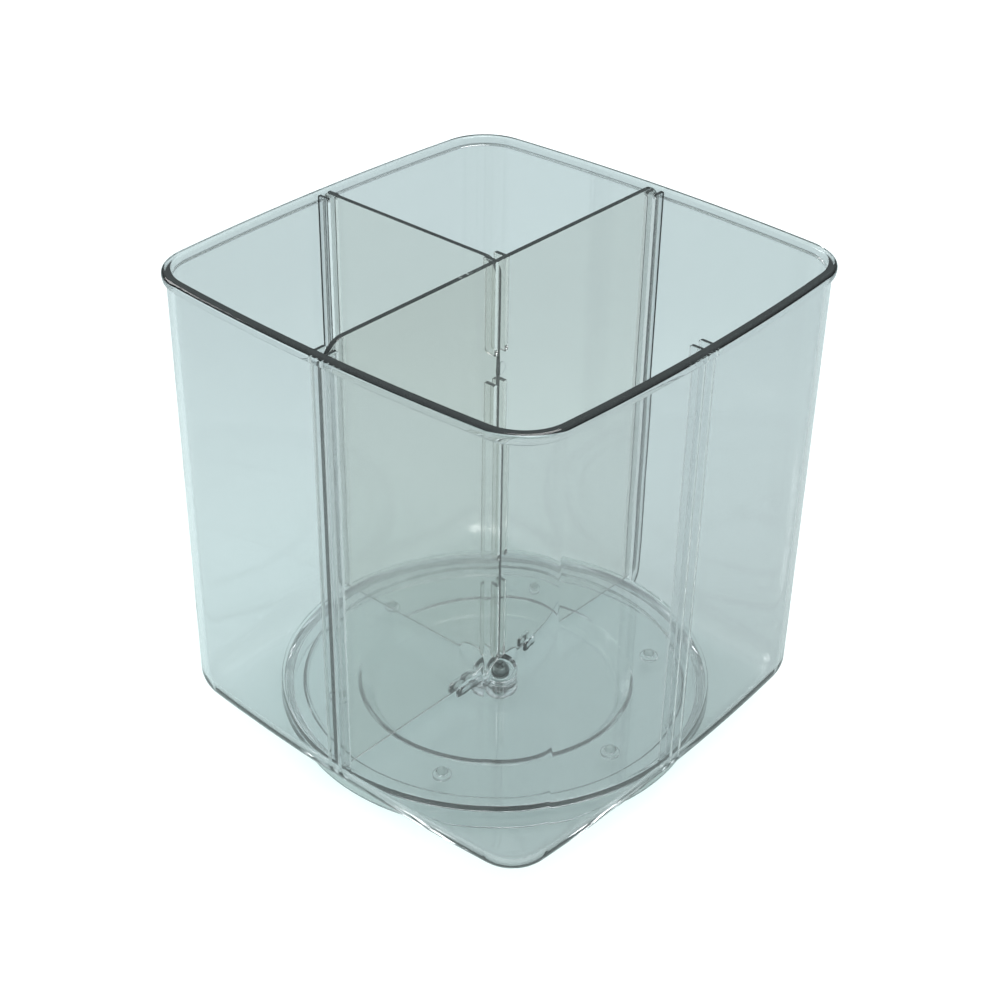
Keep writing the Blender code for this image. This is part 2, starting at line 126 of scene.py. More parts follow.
# A flat moulding: the path at full size through the middle, pulled in round both faces by
# edge (1 - cos a) as the depth goes by edge (1 - sin a) to the face, which rounds its edges.
# place turns the path and its depth into points.
def slab(name, path, half, edge, place, steps=3):
    a = np.linspace(0, math.pi / 2, steps + 1)
    pull = edge * (1 - np.cos(a))[::-1]
    depth = half - edge * (1 - np.sin(a))[::-1]
    levels = [(-d, p) for d, p in zip(depth, pull)]
    levels += [(d, p) for d, p in zip(depth[::-1], pull[::-1])]
    rings = np.stack([place(pushIn(path, p), np.full(len(path), d)) for d, p in levels])
    return gridMesh(name, rings)


# Unions or cuts obj with each (other, operation), keeps the result as its mesh, and drops
# the others.
def joined(obj, others):
    for other, operation in others:
        modifier = obj.modifiers.new(other.name, "BOOLEAN")
        modifier.operation = operation
        modifier.solver = "EXACT"
        modifier.object = other
    bpy.context.view_layer.update()
    graph = bpy.context.evaluated_depsgraph_get()
    made = bpy.data.meshes.new_from_object(obj.evaluated_get(graph))
    obj.modifiers.clear()
    obj.data = made
    for other, _ in others:
        bpy.data.objects.remove(other, do_unlink=True)
    return obj


smoothing = dict(sharpDegrees=32, faceWeight=80)


# Smooth faces with crisp edges, normals weighted by face area, then the piece's place in the
# frame.
def finished(obj, material, body, nodes):
    obj.data.materials.clear()
    obj.data.materials.append(material)
    obj.data.shade_smooth()
    obj.data.set_sharp_from_angle(angle=math.radians(smoothing["sharpDegrees"]))
    weighted = obj.modifiers.new("weighted", "WEIGHTED_NORMAL")
    weighted.keep_sharp = True
    weighted.weight = smoothing["faceWeight"]
    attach(obj, body)
    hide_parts(*nodes)
    return obj


# One node, its settings by attribute or socket name, and (socket name, source socket) links.
def addNode(tree, kind, settings=None, links=None):
    node = tree.nodes.new(kind)
    for key, value in (settings or {}).items():
        if key in node.inputs.keys():
            node.inputs[key].default_value = value
        else:
            setattr(node, key, value)
    for key, source in (links or {}).items():
        tree.links.new(source, node.inputs[key])
    return node


def newMaterial(name):
    material = bpy.data.materials.new(name)
    material.use_nodes = True
    tree = material.node_tree
    tree.nodes.clear()
    return material, tree


def hexColour(code):
    return (*hexLinear(code), 1)


clearLook = {
    "bin": dict(tint="#f1f2f3", rough=0.012, wave=0.04, waveMm=34, scratch=0.02),
    "divider": dict(tint="#f0f0ed", rough=0.03, wave=0.05, waveMm=28, scratch=0.06),
    "base": dict(tint="#f7f8f8", rough=0.06, wave=0.10, waveMm=14, scratch=0.05),
}
clearShared = dict(  # waveDeep is in metres
    ior=1.59, waveDeep=0.0012, waveBend=0.6, hairsPerMetre=420.0, hairTurn=(0.5, 0.35, 0.2),
    hairStretch=(1.0, 1.0, 14.0), hairFrom=0.56, hairTo=0.74,
    lampThrough=(0.93, 0.95, 0.945, 1),
)


# General-purpose polystyrene, injection moulded in a polished tool: a high IOR, a faint
# grey-green tint that deepens with each wall, slow flow waves that bend what is seen through
# it, and fine hair scratches, drawn coarser than real ones so that they show. Lamps and
# bounced light pass straight through, so that a clear piece throws no black shadow.
def clearPolystyrene(name, tint, rough, wave, waveMm, scratch):
    s = clearShared
    material, tree = newMaterial(name)
    place = addNode(tree, "ShaderNodeTexCoord")
    flow = addNode(tree, "ShaderNodeTexNoise",
                   {"Scale": 1000 / waveMm, "Detail": 1.0, "Roughness": 0.4,
                    "Distortion": s["waveBend"]},
                   {"Vector": place.outputs["Object"]})
    waves = addNode(tree, "ShaderNodeBump", {"Strength": wave, "Distance": s["waveDeep"]},
                    {"Height": flow.outputs["Fac"]})
    stretched = addNode(tree, "ShaderNodeMapping",
                        {"Rotation": s["hairTurn"], "Scale": s["hairStretch"]},
                        {"Vector": place.outputs["Object"]})
    hairs = addNode(tree, "ShaderNodeTexNoise",
                    {"Scale": s["hairsPerMetre"], "Detail": 3.0, "Roughness": 0.7},
                    {"Vector": stretched.outputs["Vector"]})
    rub = addNode(tree, "ShaderNodeMapRange",
                  {"From Min": s["hairFrom"], "From Max": s["hairTo"],
                   "To Min": rough, "To Max": rough + scratch},
                  {"Value": hairs.outputs["Fac"]})
    shader = addNode(tree, "ShaderNodeBsdfPrincipled",
                     {"Base Color": hexColour(tint), "IOR": s["ior"],
                      "Transmission Weight": 1.0},
                     {"Roughness": rub.outputs["Result"], "Normal": waves.outputs["Normal"]})
    passed = addNode(tree, "ShaderNodeBsdfTransparent", {"Color": s["lampThrough"]})
    path = addNode(tree, "ShaderNodeLightPath")
    lamps = addNode(tree, "ShaderNodeMath", {"operation": "MAXIMUM"})
    tree.links.new(path.outputs["Is Shadow Ray"], lamps.inputs[0])
    tree.links.new(path.outputs["Is Diffuse Ray"], lamps.inputs[1])
    both = addNode(tree, "ShaderNodeMixShader", None, {"Fac": lamps.outputs[0]})
    tree.links.new(shader.outputs["BSDF"], both.inputs[1])
    tree.links.new(passed.outputs["BSDF"], both.inputs[2])
    addNode(tree, "ShaderNodeOutputMaterial", None, {"Surface": both.outputs["Shader"]})
    return material


acetalLook = dict(tint="#d3dad8", ior=1.48, through=0.9, gritPerMetre=2500.0, smooth=0.25,
                  rubbed=0.45)


# Acetal balls, ground and tumbled: milky, with a fine grit that dulls the shine in patches.
def groundAcetal():
    s = acetalLook
    material, tree = newMaterial("acetal_tumbled_ball")
    place = addNode(tree, "ShaderNodeTexCoord")
    grit = addNode(tree, "ShaderNodeTexNoise", {"Scale": s["gritPerMetre"], "Detail": 2.0},
                   {"Vector": place.outputs["Object"]})
    rough = addNode(tree, "ShaderNodeMapRange", {"To Min": s["smooth"], "To Max": s["rubbed"]},
                    {"Value": grit.outputs["Fac"]})
    shader = addNode(tree, "ShaderNodeBsdfPrincipled",
                     {"Base Color": hexColour(s["tint"]), "IOR": s["ior"],
                      "Transmission Weight": s["through"]},
                     {"Roughness": rough.outputs["Result"]})
    addNode(tree, "ShaderNodeOutputMaterial", None, {"Surface": shader.outputs["BSDF"]})
    return material


# ringDeep is in metres.
steelLook = dict(dark="#4a5351", light="#6f7875", ringScale=900.0, ringBend=1.5, ringBump=0.25,
                 ringDeep=0.00005, patchesPerMetre=700.0, smooth=0.2, rubbed=0.42)


# Bright zinc plate over a turned and stamped steel fastener: fine rings and a soft shine.
def turnedSteel():
    s = steelLook
    material, tree = newMaterial("zinc_plated_turned_steel")
    place = addNode(tree, "ShaderNodeTexCoord")
    rings = addNode(tree, "ShaderNodeTexWave",
                    {"wave_type": "RINGS", "rings_direction": "Z", "Scale": s["ringScale"],
                     "Distortion": s["ringBend"], "Detail": 2.0},
                    {"Vector": place.outputs["Object"]})
    cut = addNode(tree, "ShaderNodeBump",
                  {"Strength": s["ringBump"], "Distance": s["ringDeep"]},
                  {"Height": rings.outputs["Fac"]})
    patches = addNode(tree, "ShaderNodeTexNoise",
                      {"Scale": s["patchesPerMetre"], "Detail": 3.0},
                      {"Vector": place.outputs["Object"]})
    rough = addNode(tree, "ShaderNodeMapRange", {"To Min": s["smooth"], "To Max": s["rubbed"]},
                    {"Value": patches.outputs["Fac"]})
    tone = addNode(tree, "ShaderNodeMix",
                   {"data_type": "RGBA", "A": hexColour(s["dark"]),
                    "B": hexColour(s["light"])},
                   {"Factor": patches.outputs["Fac"]})
    shader = addNode(tree, "ShaderNodeBsdfPrincipled", {"Metallic": 1.0},
                     {"Roughness": rough.outputs["Result"], "Normal": cut.outputs["Normal"]})
    tree.links.new(tone.outputs[2], shader.inputs["Base Color"])
    addNode(tree, "ShaderNodeOutputMaterial", None, {"Surface": shader.outputs["BSDF"]})
    return material


binPlastic = clearPolystyrene("polystyrene_moulded_bin", **clearLook["bin"])
dividerPlastic = clearPolystyrene("polystyrene_moulded_divider", **clearLook["divider"])
basePlastic = clearPolystyrene("polystyrene_moulded_base", **clearLook["base"])
ballPlastic = groundAcetal()
fastenerSteel = turnedSteel()
print("materials made")


# bite is how far one piece reaches into another before they are joined.
binSizes = dict(
    width=146.0, height=150.0, sideRadius=700.0, cornerRadius=16.5, skirt=4.5, bottom=8.8,
    floor=2.2, wall=1.8, draft=1.0, bottomFillet=10.2, sweptFloor=14.0,
    overhang=1.2, rimDepth=3.2, rimTaper=0.25, rimUnderRound=0.5, rimLowRound=0.9,
    rimTopRound=1.2, rimInnerRound=0.7,
    deckTop=65.8, deckFoot=66.15, deckRound=0.5, recess=65.0, recessRound=0.4, bite=0.3,
    slotHalf=1.3, ribThick=1.4, ribReach=4.0, ribDrop=0.6, ribEdge=0.35, ribLeast=0.3,
    ribTopRound=0.4, ribFootDegrees=29, ribLevels=(40.0, 80.0, 120.0),
    sideSteps=22, cornerSteps=20, sectionSteps=12, longestStep=9, deckSteps=240,
)


# The rounded square at each (inset, z). A side is an arc of sideRadius about (half - radius,
# 0); a corner is an arc of cornerRadius about (k, k); k makes the two arcs meet with one
# tangent.
def outlineRings(insets, z):
    s = binSizes
    inset = np.asarray(insets, float)[:, None]
    half = s["width"] / 2 - inset
    side, corner = s["sideRadius"] - inset, s["cornerRadius"] - inset
    c = half - side
    k = (c + np.sqrt(2 * (side - corner) ** 2 - c**2)) / 2
    meet = np.arctan2(k, k - c)
    alongSide = np.linspace(0, 1, s["sideSteps"] + 1)[None]
    alongCorner = np.linspace(0, 1, s["cornerSteps"] + 1)[None, 1:-1]
    t = -meet + 2 * meet * alongSide
    u = meet + (math.pi / 2 - 2 * meet) * alongCorner
    x = np.concatenate([c + side * np.cos(t), k + corner * np.cos(u)], 1)
    y = np.concatenate([side * np.sin(t), k + corner * np.sin(u)], 1)
    turns = [(x, y), (-y, x), (-x, -y), (y, -x)]
    xs = np.concatenate([p[0] for p in turns], 1)
    ys = np.concatenate([p[1] for p in turns], 1)
    return np.stack([xs, ys, np.broadcast_to(np.asarray(z, float)[:, None], xs.shape)], -1)


# Inset of the outer wall, growing evenly from the rim down to the bottom.
def outerInset(z):
    s = binSizes
    return s["overhang"] + s["draft"] * (s["height"] - z) / (s["height"] - s["skirt"])


def innerHalf(z):
    return binSizes["width"] / 2 - outerInset(z) - binSizes["wall"]


# The section of wall, rim and floor as one path of (inset, z), its corners rounded and its
# long stretches cut up evenly. Its two capped ends make the middle of the floor.
def binShell():
    s = binSizes
    low, top, under = s["skirt"], s["height"], s["height"] - s["rimDepth"]
    wallIn = s["overhang"] + s["wall"]
    foot = outerInset(low)
    path = [
        (foot + s["sweptFloor"], low), (foot, low), (outerInset(under), under),
        (s["rimTaper"], under), (0.0, (under + top) / 2), (0.0, top), (wallIn, top),
        (foot + s["wall"], low + s["floor"]), (foot + s["sweptFloor"], low + s["floor"]),
    ]
    radii = [0, s["bottomFillet"], s["rimUnderRound"], s["rimLowRound"], 0.0,
             s["rimTopRound"], s["rimInnerRound"], s["bottomFillet"] - s["wall"], 0]
    section = roundCorners(path, radii, s["sectionSteps"])
    gaps = np.linalg.norm(np.diff(section, axis=0), axis=1)
    pieces = []
    for start, end, gap in zip(section[:-1], section[1:], gaps):
        count = max(1, int(gap // s["longestStep"]))
        share = np.arange(count)[:, None] / count
        pieces.append(start + (end - start) * share)
    section = np.concatenate(pieces + [section[-1:]])
    return gridMesh("bin_body", outlineRings(section[:, 0], section[:, 1]))


# A rib's plan: square at the root, its two tip corners rounded.
def ribPath(tip, root, near, far, edge):
    corners = [(tip, near), (root, near), (root, far), (tip, far)]
    return roundCorners(corners, [edge, 0, 0, edge], 4)


# One rib beside a divider slot: its plan is carried up the drafted wall, and its root follows
# the middle of the shell round the bottom fillet. turn is the wall's place round Z.
def guideRib(turn, side):
    s = binSizes
    middle = s["bottomFillet"] - s["wall"] / 2
    centre = s["skirt"] + s["bottomFillet"]
    top = s["height"] - s["ribDrop"]
    near, far = sorted((side * s["slotHalf"], side * (s["slotHalf"] + s["ribThick"])))
    foot = centre - middle * np.cos(np.radians(np.linspace(s["ribFootDegrees"], 90, 10)))
    levels = np.concatenate([foot, [*s["ribLevels"], top - s["ribTopRound"], top]])
    rings = []
    for z in levels:
        drop = max(centre - z, 0.0)
        root = (innerHalf(centre) + s["wall"] - s["bottomFillet"]
                + math.sqrt(max(middle**2 - drop**2, 0)))
        if z > centre:
            root = innerHalf(z) + s["wall"] / 2
        shrink = s["ribTopRound"] if z == top else 0.0
        tip = innerHalf(max(z, centre)) - s["ribReach"] + shrink
        plan = ribPath(tip, max(root, tip + s["ribLeast"]), near + shrink / 2,
                       far - shrink / 2, s["ribEdge"])
        rings.append(np.column_stack([plan, np.full(len(plan), z)]))
    rings = np.stack(rings)
    c, n = round(math.cos(turn)), round(math.sin(turn))
    x, y = rings[..., 0] * c - rings[..., 1] * n, rings[..., 0] * n + rings[..., 1] * c
    return gridMesh("guide_rib", np.stack([x, y, rings[..., 2]], -1))


# crown is (distance below the top, share of the full thickness and length).
clipSizes = dict(
    inside=1.2, wall=1.8, near={-1: 8.5, 1: 12.5}, far=19.2, height=3.0,
    waist=0.35, waistLong=1.2, endPower=0.8, sidePower=0.5, footShare=1.04,
    crown=((0.9, 1.0), (0.4, 0.93), (0.1, 0.75), (0.0, 0.5)), steps=40,
)


# One wall of a locating clip: powers of sine and cosine square off an ellipse, a bell curve
# pulls in a waist between its two lobes, and its top is crowned.
def floorClip(end, side):
    s = clipSizes
    half = s["wall"] / 2
    length = (s["far"] - s["near"][end]) / 2
    a = np.linspace(0, 2 * math.pi, s["steps"], endpoint=False)
    along = length * np.sign(np.sin(a)) * np.abs(np.sin(a)) ** s["endPower"]
    across = half * np.sign(np.cos(a)) * np.abs(np.cos(a)) ** s["sidePower"]
    waist = s["waist"] * np.exp(-(along / s["waistLong"]) ** 2) * (np.cos(a) * side > 0)
    across = across - side * waist
    low = binSizes["bottom"] + binSizes["floor"] / 2
    top = binSizes["bottom"] + binSizes["floor"] + s["height"]
    levels = [(low, s["footShare"])] + [(top - drop, share) for drop, share in s["crown"]]
    rings = []
    for z, share in levels:
        x = side * (s["inside"] + half) + across * share
        y = end * (s["near"][end] + length) + along * share
        rings.append(np.stack([x, y, np.full(len(a), z)], 1))
    return gridMesh("floor_clip", np.stack(rings))


# past and over are how far the seat's cutter runs below the hub and above the floor.
hubSizes = dict(radius=7.2, depth=1.5, bore=1.9, well=6.0, plate=1.1, lead=0.4, edge=0.5,
                bite=1.0, past=2, over=4, steps=72)


def buildBin():
    s, h = binSizes, hubSizes
    under = s["bottom"] - h["depth"]
    hubTop = s["bottom"] + h["bite"]
    floorTop = s["bottom"] + s["floor"]
    hub = turned("hub", roundCorners(
        [(0, under), (h["radius"], under), (h["radius"], hubTop), (0, hubTop)],
        [0, h["edge"], 0, 0], 6), h["steps"])
    boreLead, wellEdge = h["bore"] + h["lead"], h["well"] + h["edge"]
    seat = turned("seat", np.array([
        (0, under - h["past"]), (boreLead, under - h["past"]), (boreLead, under),
        (h["bore"], under + h["lead"]), (h["bore"], under + h["plate"]),
        (h["well"], under + h["plate"]), (h["well"], floorTop - h["edge"]),
        (wellEdge, floorTop), (wellEdge, floorTop + h["over"]), (0, floorTop + h["over"]),
    ]), h["steps"])
    foot = s["skirt"] + s["floor"] - s["bite"]
    deck = turned("deck", roundCorners(
        [(0, foot), (s["deckFoot"], foot), (s["deckTop"], floorTop), (0, floorTop)],
        [0, 0, s["deckRound"], 0], 5), s["deckSteps"])
    recess = turned("recess", roundCorners(
        [(0, -s["bite"]), (s["recess"], -s["bite"]), (s["recess"], s["bottom"]),
         (0, s["bottom"])], [0, 0, s["recessRound"], 0], 5), s["deckSteps"])
    halfStep = Matrix.Rotation(math.pi / s["deckSteps"], 4, "Z")  # keeps corners off the ribs
    for obj in (deck, recess):
        obj.data.transform(halfStep)
    ribs = [guideRib(turn * math.pi / 2, side) for turn in range(4) for side in (-1, 1)]
    clips = [floorClip(end, side) for end in (-1, 1) for side in (-1, 1)]
    adds = [(other, "UNION") for other in [*ribs, deck]]
    fittings = [(other, "UNION") for other in [hub, *clips]]
    steps = [*adds, (recess, "DIFFERENCE"), *fittings, (seat, "DIFFERENCE")]
    return joined(binShell(), steps)


binPiece = finished(buildBin(), binPlastic, "bin", ["bin"])
print("bin made", len(binPiece.data.polygons), "faces")


# end is the gap to the wall. The notches are along each divider from the middle of the bin,
# and gap, upper and lower place the three stretches of the channel.
dividerSizes = dict(
    thick=1.6, end=0.5, longTop=151.5, shortTop=150.3, low=11.6, frontRadius=7.5,
    backRadius=4.5, shortRadius=2.0, jointRadius=4.5, jointFoot=0.4, lowRadius=4.0, edge=0.3,
    notch=3.2, longNotch=10.5, shortNotch=(-15.0, -3.0), joint=-1.7,
    channelHalf=1.4, channelRib=1.5, channelReach=3.9, channelFoot=1.6, channelTop=0.5,
    channelLift=0.1, channelDrop=0.3, gap=9.5, upper=30.0, lower=31.0,
    mark=2.0, markProud=0.3, markSteps=32, cornerSteps=12,
)


# Half an ellipse over the bottom edge, from left to right.
def arch(left, right, low, height, steps=24):
    a = np.linspace(math.pi, 0, steps + 1)
    x = (left + right) / 2 + (right - left) / 2 * np.cos(a)
    return np.stack([x, low + height * np.sin(a)], 1)


# The corners of an end that slides in a wall slot: lower corner, drafted edge, upper corner.
def wallEnd(top, topRadius):
    s = dividerSizes
    low = innerHalf(s["low"] + s["lowRadius"]) - s["end"]
    high = innerHalf(top - topRadius) - s["end"]
    return [(low, s["low"]), (high, top)], [s["lowRadius"], topRadius]


# One stretch of the ribs that hold the short divider: a flat top and a rounded lower end.
def channelRib(side, low, high):
    s = dividerSizes
    near, far = side * s["channelHalf"], side * (s["channelHalf"] + s["channelRib"])
    middle, half = (near + far) / 2, s["channelRib"] / 2
    tip = -s["thick"] / 2 - s["channelReach"]
    corners = [(0.0, low), (tip, low), (tip, high), (0.0, high)]
    path = roundCorners(corners, [0, s["channelFoot"], s["channelTop"], 0], 6)[::-1]
    return slab("channel_rib", path, half, s["edge"],
                lambda p, d: np.stack([p[:, 0], middle + d, p[:, 1]], 1))


# A low round pad on the face, its rim drawn in by as much as it stands proud.
def gateMark():
    s = dividerSizes
    a = np.linspace(0, 2 * math.pi, s["markSteps"], endpoint=False)
    centre = s["longTop"] - s["upper"] - s["gap"] / 2
    face, proud = -s["thick"] / 2, s["markProud"]
    levels = ((0.0, s["mark"]), (face - proud / 2, s["mark"]),
              (face - proud, s["mark"] - proud))
    return gridMesh("gate_mark", np.stack([
        np.stack([np.full(len(a), x), r * np.cos(a), centre + r * np.sin(a)], 1)
        for x, r in levels]))


def buildLongDivider():
    s = dividerSizes
    back, backRadii = wallEnd(s["longTop"], s["backRadius"])
    front, frontRadii = wallEnd(s["longTop"], s["frontRadius"])
    corners = back + [(-x, z) for x, z in front[::-1]]
    path = roundCorners(corners, backRadii + frontRadii[::-1], s["cornerSteps"])
    notch = arch(-s["longNotch"], s["longNotch"], s["low"], s["notch"])
    path = np.concatenate([notch, path])
    panel = slab("long_divider_panel", path, s["thick"] / 2, s["edge"],
                 lambda p, d: np.stack([d, p[:, 0], p[:, 1]], 1))
    middle, upper = s["low"] + s["lower"], s["longTop"] - s["upper"]
    stretches = [(s["low"] + s["notch"] + s["channelLift"], middle),
                 (middle + s["gap"], upper - s["gap"]),
                 (upper, s["longTop"] - s["channelDrop"])]
    ribs = [channelRib(side, low, high) for low, high in stretches for side in (-1, 1)]
    return joined(panel, [(other, "UNION") for other in [*ribs, gateMark()]])


def buildShortDivider():
    s = dividerSizes
    (low, high), radii = wallEnd(s["shortTop"], s["shortRadius"])
    corners = [(s["joint"], s["low"]), (s["joint"], s["shortTop"]), (-high[0], high[1]),
               (-low[0], low[1])]
    rounds = [s["jointFoot"], s["jointRadius"], radii[1], radii[0]]
    path = roundCorners(corners, rounds, s["cornerSteps"])
    notch = arch(s["shortNotch"][0], s["shortNotch"][1], s["low"], s["notch"])
    path = np.concatenate([notch, path])
    return slab("short_divider_panel", path, s["thick"] / 2, s["edge"],
                lambda p, d: np.stack([p[:, 0], d, p[:, 1]], 1))


longDivider = finished(buildLongDivider(), dividerPlastic, "long_divider",
                       ["long_divider"])
shortDivider = finished(buildShortDivider(), dividerPlastic, "short_divider",
                        ["short_divider"])
print("dividers made", len(longDivider.data.polygons), "and",
      len(shortDivider.data.polygons), "faces")


# bandStep is how far out the edge band starts from the track, underOut and underBand how far
# out the underside's corners stand from those above them, to keep the wall's thickness.
baseSizes = dict(
    radius=64.4, wall=1.8, top=8.2, track=7.2, trackOuter=57.7, trackInner=42.0,
    bandStep=0.6, underOut=0.9, underBand=1.5, webRadius=37.8, web=2.6, webUnder=0.8,
    post=7.0, postRadius=7.2, bore=1.8, boreLow=1.2, boreLead=0.4, boreTop=9,
    leadBelow=0.3, leadAbove=0.1, ballCircle=49.8, ballRadius=1.6, ballHeight=6.9,
    ballTurn=-6.0, balls=6, clearance=0.3, pocket=1.9, cupWall=1.0, cupFloor=0.8,
    cupRound=0.5, partingProud=0.012, partingWide=0.05, ballLevels=25, ballSteps=48,
    steps=192, cupSteps=32, boreSteps=48,
)


# The base is one profile turned round Z. Each row is (radius, height, corner's rounding).
def buildBase():
    s = baseSizes
    wall = s["wall"]
    under = s["track"] - wall
    inside, bandUnder = s["radius"] - wall, s["top"] - wall
    corners = [
        (0, s["post"], 0),
        (s["postRadius"], s["post"], 0.4),
        (s["postRadius"], s["web"], 0.8),
        (s["webRadius"], s["web"], 2.5),
        (s["trackInner"], s["track"], 1.4),
        (s["trackOuter"], s["track"], 0.5),
        (s["trackOuter"] + s["bandStep"], s["top"], 0.4),
        (s["radius"], s["top"], 1.1),
        (s["radius"], 0, 0.4),
        (inside, 0, 0.4),
        (inside, bandUnder, 0.5),
        (s["trackOuter"] + s["underBand"], bandUnder, 0.3),
        (s["trackOuter"] + s["underOut"], under, 0.3),
        (s["trackInner"] + s["underOut"], under, 1.0),
        (s["webRadius"] + s["underOut"], s["webUnder"], 1.5),
        (0, s["webUnder"], 0),
    ]
    profile = roundCorners([c[:2] for c in corners], [c[2] for c in corners], 8)
    base = turned("base_moulding", profile, s["steps"])
    low = s["ballHeight"] - s["ballRadius"] - s["clearance"]
    cupRadius = s["pocket"] + s["cupWall"]
    cupLow, cupTop = low - s["cupFloor"], under + wall / 2
    cupSection = [(0, cupLow), (cupRadius, cupLow), (cupRadius, cupTop), (0, cupTop)]
    pocketSection = [(0, low), (s["pocket"], low), (s["pocket"], s["top"]), (0, s["top"])]
    cups, pockets = [], []
    for x, y in ballCentres():
        for group, section in ((cups, cupSection), (pockets, pocketSection)):
            rounded = roundCorners(section, [0, s["cupRound"], 0, 0], 4)
            obj = turned("cup", rounded, s["cupSteps"])
            obj.data.transform(Matrix.Translation((x * mm, y * mm, 0)))
            group.append(obj)
    lead = s["bore"] + s["boreLead"]
    bore = turned("bore", np.array([
        (0, s["boreLow"]), (s["bore"], s["boreLow"]), (s["bore"], s["post"] - s["leadBelow"]),
        (lead, s["post"] + s["leadAbove"]), (lead, s["boreTop"]), (0, s["boreTop"]),
    ]), s["boreSteps"])
    steps = [(obj, "UNION") for obj in cups]
    steps += [(obj, "DIFFERENCE") for obj in [*pockets, bore]]
    return joined(base, steps)


def ballCentres():
    s = baseSizes
    a = np.radians(s["ballTurn"] + 360 / s["balls"] * np.arange(s["balls"]))
    return np.stack([s["ballCircle"] * np.cos(a), s["ballCircle"] * np.sin(a)], 1)


# A sphere on latitude v and longitude u. A bell curve on v leaves the mould's parting line
# proud round its middle.
def buildBall(number, x, y):
    s = baseSizes
    v, u = np.meshgrid(np.linspace(0, math.pi, s["ballLevels"]),
                       np.linspace(0, 2 * math.pi, s["ballSteps"], endpoint=False),
                       indexing="ij")
    bell = np.exp(-((v - math.pi / 2) / s["partingWide"]) ** 2)
    r = s["ballRadius"] - s["partingProud"] + s["partingProud"] * bell
    rings = np.stack([x + r * np.sin(v) * np.cos(u), y + r * np.sin(v) * np.sin(u),
                      s["ballHeight"] - r * np.cos(v)], -1)
    return gridMesh(f"ball_{number}", rings, capped=False)


basePiece = finished(buildBase(), basePlastic, "base", ["turntable_base"])
for number, (x, y) in enumerate(ballCentres(), 1):
    finished(buildBall(number, x, y), ballPlastic, f"ball_{number}",
             [f"bearing_ball_{number}"])
print("base and balls made", len(basePiece.data.polygons), "faces")


# threadIn, threadOut and plain are the lengths over which the thread grows, fades and is
# absent under the head. crossLow and crossHigh are the recess's size at its floor and mouth.
screwSizes = dict(
    headLow=9.6, head=1.8, headRadius=3.5, crownShare=0.75, crownDrop=0.1, headSide=1.0,
    headRounds=(0, 0.8, 0.5, 0.15, 0), shank=1.5, shankLow=1.4, neck=0.2, thread=0.14,
    pitch=0.8, threadIn=0.6, threadOut=0.5, plain=0.6, point=0.45, pointLong=0.5,
    recess=0.9, recessLong=4.0, recessDeep=0.8, recessOver=0.5, crossLow=0.72, crossHigh=1.1,
    crossInner=0.1, crossOuter=0.3, levels=120, steps=64,
)


# 0 below the start, 1 past the length after it, and an even rise between.
def rise(along, length):
    return np.clip(along / length, 0, 1)


# Pan head and threaded shank in one sweep: on the shank r = core - thread depth times a
# triangle wave that climbs by one pitch each turn, less a taper at the point.
def buildScrew():
    s = screwSizes
    top = s["headLow"] + s["head"]
    head = roundCorners(
        [(0, top), (s["headRadius"] * s["crownShare"], top - s["crownDrop"]),
         (s["headRadius"], top - s["headSide"]), (s["headRadius"], s["headLow"]),
         (s["shank"], s["headLow"])], s["headRounds"], 5)
    z = np.linspace(s["headLow"] - s["neck"], s["shankLow"], s["levels"])
    above = z - s["shankLow"]
    fade = rise(above, s["threadIn"]) * rise(s["headLow"] - s["plain"] - z, s["threadOut"])
    taper = s["point"] * (1 - rise(above, s["pointLong"]))
    a = np.linspace(0, 2 * math.pi, s["steps"], endpoint=False)
    phase = 2 * math.pi * z[:, None] / s["pitch"] - a[None]
    crest = np.abs((phase / math.pi) % 2 - 1)
    r = s["shank"] - s["thread"] * fade[:, None] * crest - taper[:, None]
    shank = np.stack([r * np.cos(a), r * np.sin(a), np.broadcast_to(z[:, None], r.shape)], -1)
    up = np.broadcast_to(head[:, 1:], (len(head), s["steps"]))
    cap = np.stack([head[:, :1] * np.cos(a), head[:, :1] * np.sin(a), up], -1)
    screw = gridMesh("screw_body", np.concatenate([cap, shank]))
    w, n = s["recess"] / 2, s["recessLong"] / 2
    cross = roundCorners(
        [(w, w), (w, n), (-w, n), (-w, w), (-n, w), (-n, -w), (-w, -w), (-w, -n), (w, -n),
         (w, -w), (n, -w), (n, w)],
        [s["crossInner"], s["crossOuter"], s["crossOuter"]] * 4, 4)
    ends = ((top - s["recessDeep"], s["crossLow"]), (top + s["recessOver"], s["crossHigh"]))
    rings = np.stack([np.column_stack([cross * k, np.full(len(cross), z)]) for z, k in ends])
    return joined(screw, [(gridMesh("recess", rings), "DIFFERENCE")])


washerSizes = dict(low=8.7, thick=0.6, inner=1.8, outer=4.0, innerRound=0.1,
                   outerRound=0.15, steps=72)


def buildWasher():
    s = washerSizes
    top = s["low"] + s["thick"]
    path = roundCorners(
        [(s["inner"], s["low"]), (s["outer"], s["low"]), (s["outer"], top),
         (s["inner"], top)],
        [s["innerRound"], s["outerRound"], s["outerRound"], s["innerRound"]], 3)
    return turned("washer_disc", np.concatenate([path, path[:1]]), s["steps"], capped=False)


finished(buildScrew(), fastenerSteel, "base", ["pivot_screw"])
finished(buildWasher(), fastenerSteel, "base", ["pivot_washer"])
print("screw and washer made")


